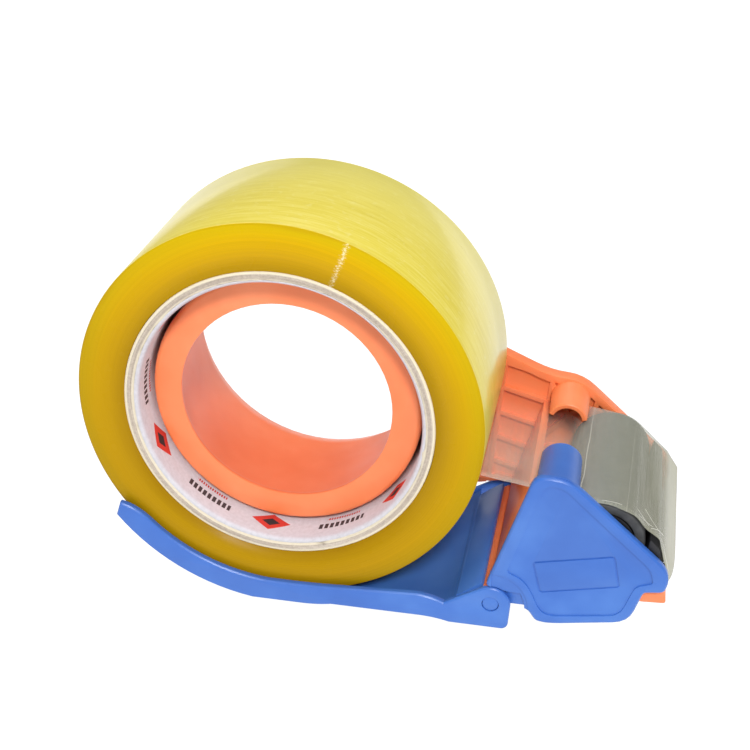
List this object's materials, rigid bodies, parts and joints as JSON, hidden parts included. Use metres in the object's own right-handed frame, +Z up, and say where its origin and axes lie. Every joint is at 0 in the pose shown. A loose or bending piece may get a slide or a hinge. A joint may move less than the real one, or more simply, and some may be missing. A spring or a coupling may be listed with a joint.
{
  "type": "tape gun dispenser",
  "caption": "Hand dispenser for packing tape: side frame with hollow hub, cover plate, hinged hold-down arm, rubber roller, toothed blade and a tape roll threaded over the roller.",
  "frame": {"origin": "under the middle of the bounding box, on the surface that the hold-down arm rests on", "axes": "+X from the tape roll to the blade, +Y from the cover plate to the side frame along the hub's axis, +Z up"},
  "size_m": [0.1586, 0.0576, 0.1102],
  "materials": {
    "orange_plastic": "satin moulded",
    "blue_plastic": "satin moulded",
    "roller_rubber": "matt, fine ground",
    "black_plastic": "satin moulded",
    "steel": "bright zinc",
    "blade_steel": "cold-rolled, bright",
    "tape_roll": "gloss, wound film",
    "core_paper": "raw, cut edge",
    "label_paper": "printed, satin",
    "tape_film": "clear film, crinkled"
  },
  "bodies": {
    "frame": {"side_plate": "orange_plastic", "hub_drum": "orange_plastic", "frame_wall": "orange_plastic", "cover_plate": "blue_plastic", "hinge_pin": "blue_plastic", "roller_axle": "steel", "blade": "blade_steel", "blade_guard": "black_plastic", "tape_web": "tape_film", "blade_screw_1": "steel", "blade_screw_2": "steel", "case_screw_1": "steel", "case_screw_2": "steel", "case_screw_3": "steel"},
    "arm": {"hold_down_arm": "blue_plastic"},
    "roll": {"tape_winding": "tape_roll", "core_tube": "core_paper", "core_label": "label_paper"},
    "roller": {"roller_sleeve": "roller_rubber", "roller_spool": "black_plastic"}
  },
  "joints": [
    {"name": "arm_hinge", "type": "hinge", "parent": "frame", "child": "arm", "pos_m": [0.03208, 0, 0.0078], "axis": [0, 1, 0], "range_deg": [-60, 0]},
    {"name": "roll_spin", "type": "hinge", "parent": "frame", "child": "roll", "pos_m": [-0.02542, 0, 0.0563], "axis": [0, 1, 0], "continuous": true},
    {"name": "roller_spin", "type": "hinge", "parent": "frame", "child": "roller", "pos_m": [0.05958, 0, 0.0298], "axis": [0, 1, 0], "continuous": true}
  ],
  "couplings": [
    {"joint": "roller_spin", "follows": "roll_spin", "ratio": -4.9907}
  ]
}
